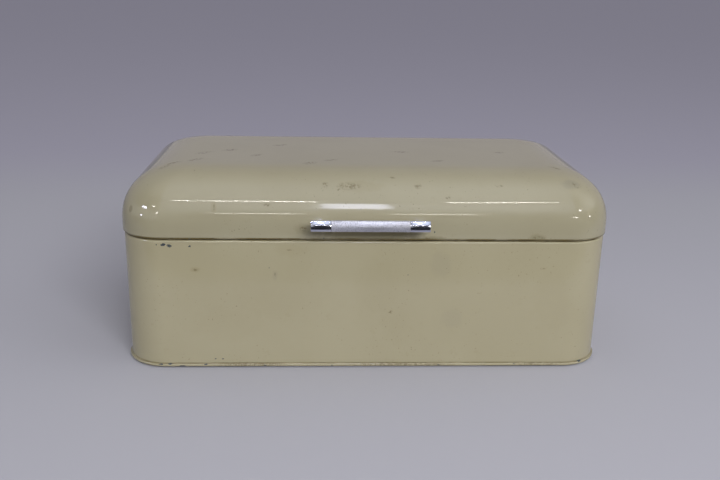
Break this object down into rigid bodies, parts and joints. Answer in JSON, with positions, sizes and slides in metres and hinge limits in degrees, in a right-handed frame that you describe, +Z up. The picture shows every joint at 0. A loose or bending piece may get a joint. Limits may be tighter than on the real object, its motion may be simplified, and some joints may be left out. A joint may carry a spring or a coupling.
{
  "type": "bread box",
  "caption": "Enamelled steel bread box with rounded corners, a lid that lifts on rear hinges, a bar handle at the front and a beaded base on rubber feet.",
  "frame": {"origin": "on the table, under the middle of the overall bounding box, which reaches from the handle's bar to the hinges' tails", "axes": "+X to the right along the box, +Y to the rear, towards the hinges, +Z up"},
  "size_m": [0.4232, 0.2506, 0.171],
  "materials": {
    "cream_enamel": "gloss enamel, lightly worn",
    "satin_metal": "fine satin",
    "bright_chrome": "polished",
    "plated_steel": "zinc plated, dull",
    "black_rubber": "matte",
    "pale_rubber": "matte"
  },
  "bodies": {
    "base": {"body_wall": "cream_enamel", "base_pan": "cream_enamel", "foot_front_left": "black_rubber", "foot_front_right": "black_rubber", "foot_rear_left": "black_rubber", "foot_rear_right": "black_rubber", "lid_buffer_left": "pale_rubber", "lid_buffer_right": "pale_rubber", "hinge_left_body_leaf": "plated_steel", "hinge_left_pin": "plated_steel", "hinge_right_body_leaf": "plated_steel", "hinge_right_pin": "plated_steel", "hinge_rivets_body": "plated_steel"},
    "lid": {"lid_shell": "cream_enamel", "hinge_left_lid_leaf": "plated_steel", "hinge_right_lid_leaf": "plated_steel", "hinge_rivets_lid": "plated_steel", "handle_grip": "satin_metal", "handle_end_left": "bright_chrome", "handle_end_right": "bright_chrome", "handle_screws": "plated_steel", "handle_washers": "plated_steel"}
  },
  "joints": [
    {"name": "lid_hinge", "type": "hinge", "parent": "base", "child": "lid", "pos_m": [0, 0.12114, 0.1169], "axis": [-1, 0, 0], "range_deg": [0, 105]}
  ]
}
